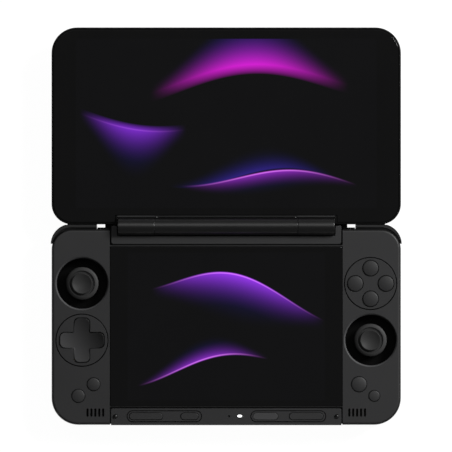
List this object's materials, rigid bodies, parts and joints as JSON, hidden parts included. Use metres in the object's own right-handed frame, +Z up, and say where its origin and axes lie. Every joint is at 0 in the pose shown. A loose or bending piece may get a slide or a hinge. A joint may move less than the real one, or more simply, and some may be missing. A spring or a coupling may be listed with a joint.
{
  "type": "clamshell handheld game console",
  "caption": "Dual-screen clamshell handheld game console, opened flat, with sticks, cross pad, buttons and shoulder controls.",
  "frame": {"origin": "on the table plane, straight under the middle of the lid's hinge axis", "axes": "+X to the player's right, +Y away from the player towards the opened lid's far edge, +Z up"},
  "size_m": [0.1808, 0.2048, 0.0244],
  "materials": {
    "shell_plastic": "fine matt spark-eroded texture, dark grey",
    "lid_shell_plastic": "fine matt texture, near black",
    "button_plastic": "smooth satin, dark grey",
    "stick_rubber": "soft-touch rubber, near black",
    "soft_rubber": "matt black rubber",
    "cover_glass": "gloss black cover glass over a display",
    "display_module": "black display module",
    "bearing_steel": "turned steel",
    "board": "dark green circuit board",
    "battery_wrap": "foil wrap",
    "fin_copper": "bare copper",
    "inner_plastic": "plain black moulding",
    "stem_plastic": "white bearing plastic",
    "sensor_pad": "smooth satin sensor pad, mid grey",
    "light_lens": "clear white lens"
  },
  "bodies": {
    "base": {"base_bottom_shell": "shell_plastic", "deck": "shell_plastic", "rear_panel": "shell_plastic", "front_strip": "shell_plastic", "lower_glass": "cover_glass", "lower_display_panel": "display_module", "left_hinge_knuckle": "shell_plastic", "right_hinge_knuckle": "shell_plastic", "hinge_cartridges": "bearing_steel", "dpad_disc": "shell_plastic", "face_button_disc": "shell_plastic", "stick_wells": "inner_plastic", "left_stick_module": "bearing_steel", "right_stick_module": "bearing_steel", "mainboard": "board", "battery_pack": "battery_wrap", "heat_sink": "fin_copper", "fan_housing": "inner_plastic", "speakers": "inner_plastic", "control_boards": "board", "button_domes": "bearing_steel", "usb_port": "bearing_steel", "feet": "soft_rubber", "case_screws": "bearing_steel", "rest_pads": "soft_rubber", "led_light_pipe": "light_lens", "shoulder_pins": "bearing_steel"},
    "lid": {"lid_back_cover": "lid_shell_plastic", "lid_front_frame": "lid_shell_plastic", "lid_glass": "cover_glass", "upper_display_panel": "display_module", "lid_hinge_barrel": "shell_plastic", "hinge_shafts": "bearing_steel", "barrel_screws": "bearing_steel", "lid_magnets": "bearing_steel"},
    "left_stick_yoke": {"left_stick_yoke": "stem_plastic"},
    "left_stick_stem": {"left_stick_stem": "stem_plastic"},
    "left_stick_cap": {"left_stick_cap": "stick_rubber"},
    "right_stick_yoke": {"right_stick_yoke": "stem_plastic"},
    "right_stick_stem": {"right_stick_stem": "stem_plastic"},
    "right_stick_cap": {"right_stick_cap": "stick_rubber"},
    "dpad_spider": {"dpad_spider": "bearing_steel"},
    "dpad": {"dpad": "button_plastic"},
    "face_button_north": {"face_button_north": "button_plastic"},
    "face_button_east": {"face_button_east": "button_plastic"},
    "face_button_south": {"face_button_south": "button_plastic"},
    "face_button_west": {"face_button_west": "button_plastic"},
    "left_upper_small_button": {"left_upper_small_button": "button_plastic"},
    "left_lower_small_button": {"left_lower_small_button": "button_plastic"},
    "right_upper_small_button": {"right_upper_small_button": "button_plastic"},
    "right_lower_small_button": {"right_lower_small_button": "button_plastic"},
    "volume_rocker": {"volume_rocker": "button_plastic"},
    "left_strip_button": {"left_strip_button": "button_plastic"},
    "fingerprint_button": {"fingerprint_button": "sensor_pad"},
    "right_strip_button": {"right_strip_button": "button_plastic"},
    "left_bumper": {"left_bumper": "shell_plastic"},
    "right_bumper": {"right_bumper": "shell_plastic"},
    "left_trigger": {"left_trigger": "shell_plastic"},
    "right_trigger": {"right_trigger": "shell_plastic"},
    "fan_rotor": {"fan_rotor": "inner_plastic"}
  },
  "joints": [
    {"name": "lid_hinge", "type": "hinge", "parent": "base", "child": "lid", "pos_m": [0, 0, 0.0198], "axis": [1, 0, 0], "range_deg": [0, 180]},
    {"name": "left_stick_pitch", "type": "hinge", "parent": "base", "child": "left_stick_yoke", "pos_m": [-0.07435, -0.0295, 0.008], "axis": [1, 0, 0], "range_deg": [-16, 16], "stiffness_Nm_per_rad": 0.03},
    {"name": "left_stick_roll", "type": "hinge", "parent": "left_stick_yoke", "child": "left_stick_stem", "pos_m": [-0.07435, -0.0295, 0.008], "axis": [0, 1, 0], "range_deg": [-16, 16], "stiffness_Nm_per_rad": 0.03},
    {"name": "left_stick_click", "type": "slide", "parent": "left_stick_stem", "child": "left_stick_cap", "axis": [0, 0, -1], "range_m": [0, 0.0004], "stiffness_N_per_m": 800},
    {"name": "right_stick_pitch", "type": "hinge", "parent": "base", "child": "right_stick_yoke", "pos_m": [0.07435, -0.0587, 0.008], "axis": [1, 0, 0], "range_deg": [-16, 16], "stiffness_Nm_per_rad": 0.03},
    {"name": "right_stick_roll", "type": "hinge", "parent": "right_stick_yoke", "child": "right_stick_stem", "pos_m": [0.07435, -0.0587, 0.008], "axis": [0, 1, 0], "range_deg": [-16, 16], "stiffness_Nm_per_rad": 0.03},
    {"name": "right_stick_click", "type": "slide", "parent": "right_stick_stem", "child": "right_stick_cap", "axis": [0, 0, -1], "range_m": [0, 0.0004], "stiffness_N_per_m": 800},
    {"name": "dpad_pitch", "type": "hinge", "parent": "base", "child": "dpad_spider", "pos_m": [-0.07435, -0.0587, 0.0151], "axis": [1, 0, 0], "range_deg": [-2.8, 2.8], "stiffness_Nm_per_rad": 0.06},
    {"name": "dpad_roll", "type": "hinge", "parent": "dpad_spider", "child": "dpad", "pos_m": [-0.07435, -0.0587, 0.0151], "axis": [0, 1, 0], "range_deg": [-2.8, 2.8], "stiffness_Nm_per_rad": 0.06},
    {"name": "face_button_north_press", "type": "slide", "parent": "base", "child": "face_button_north", "axis": [0, 0, -1], "range_m": [0, 0.0008], "stiffness_N_per_m": 300},
    {"name": "face_button_east_press", "type": "slide", "parent": "base", "child": "face_button_east", "axis": [0, 0, -1], "range_m": [0, 0.0008], "stiffness_N_per_m": 300},
    {"name": "face_button_south_press", "type": "slide", "parent": "base", "child": "face_button_south", "axis": [0, 0, -1], "range_m": [0, 0.0008], "stiffness_N_per_m": 300},
    {"name": "face_button_west_press", "type": "slide", "parent": "base", "child": "face_button_west", "axis": [0, 0, -1], "range_m": [0, 0.0008], "stiffness_N_per_m": 300},
    {"name": "left_upper_small_button_press", "type": "slide", "parent": "base", "child": "left_upper_small_button", "axis": [0, 0, -1], "range_m": [0, 0.0005], "stiffness_N_per_m": 300},
    {"name": "left_lower_small_button_press", "type": "slide", "parent": "base", "child": "left_lower_small_button", "axis": [0, 0, -1], "range_m": [0, 0.0005], "stiffness_N_per_m": 300},
    {"name": "right_upper_small_button_press", "type": "slide", "parent": "base", "child": "right_upper_small_button", "axis": [0, 0, -1], "range_m": [0, 0.0005], "stiffness_N_per_m": 300},
    {"name": "right_lower_small_button_press", "type": "slide", "parent": "base", "child": "right_lower_small_button", "axis": [0, 0, -1], "range_m": [0, 0.0005], "stiffness_N_per_m": 300},
    {"name": "volume_rocker_tip", "type": "hinge", "parent": "base", "child": "volume_rocker", "pos_m": [-0.04133, -0.0979, 0.0154], "axis": [0, 1, 0], "range_deg": [-1.5, 1.5], "stiffness_Nm_per_rad": 0.05},
    {"name": "left_strip_button_press", "type": "slide", "parent": "base", "child": "left_strip_button", "axis": [0, 0, -1], "range_m": [0, 0.0004], "stiffness_N_per_m": 300},
    {"name": "fingerprint_button_press", "type": "slide", "parent": "base", "child": "fingerprint_button", "axis": [0, 0, -1], "range_m": [0, 0.0004], "stiffness_N_per_m": 300},
    {"name": "right_strip_button_press", "type": "slide", "parent": "base", "child": "right_strip_button", "axis": [0, 0, -1], "range_m": [0, 0.0004], "stiffness_N_per_m": 300},
    {"name": "left_bumper_press", "type": "hinge", "parent": "base", "child": "left_bumper", "pos_m": [-0.0872, -0.0073, 0.014], "axis": [0, 0, -1], "range_deg": [0, 1.3], "stiffness_Nm_per_rad": 0.5},
    {"name": "right_bumper_press", "type": "hinge", "parent": "base", "child": "right_bumper", "pos_m": [0.0872, -0.0073, 0.014], "axis": [0, 0, 1], "range_deg": [0, 1.3], "stiffness_Nm_per_rad": 0.5},
    {"name": "left_trigger_pull", "type": "hinge", "parent": "base", "child": "left_trigger", "pos_m": [-0.0745, -0.0036, 0.0084], "axis": [-1, 0, 0], "range_deg": [0, 12], "stiffness_Nm_per_rad": 0.05},
    {"name": "right_trigger_pull", "type": "hinge", "parent": "base", "child": "right_trigger", "pos_m": [0.0745, -0.0036, 0.0084], "axis": [-1, 0, 0], "range_deg": [0, 12], "stiffness_Nm_per_rad": 0.05},
    {"name": "fan_spin", "type": "hinge", "parent": "base", "child": "fan_rotor", "pos_m": [0.03, -0.028, 0.005], "axis": [0, 0, 1], "continuous": true}
  ]
}
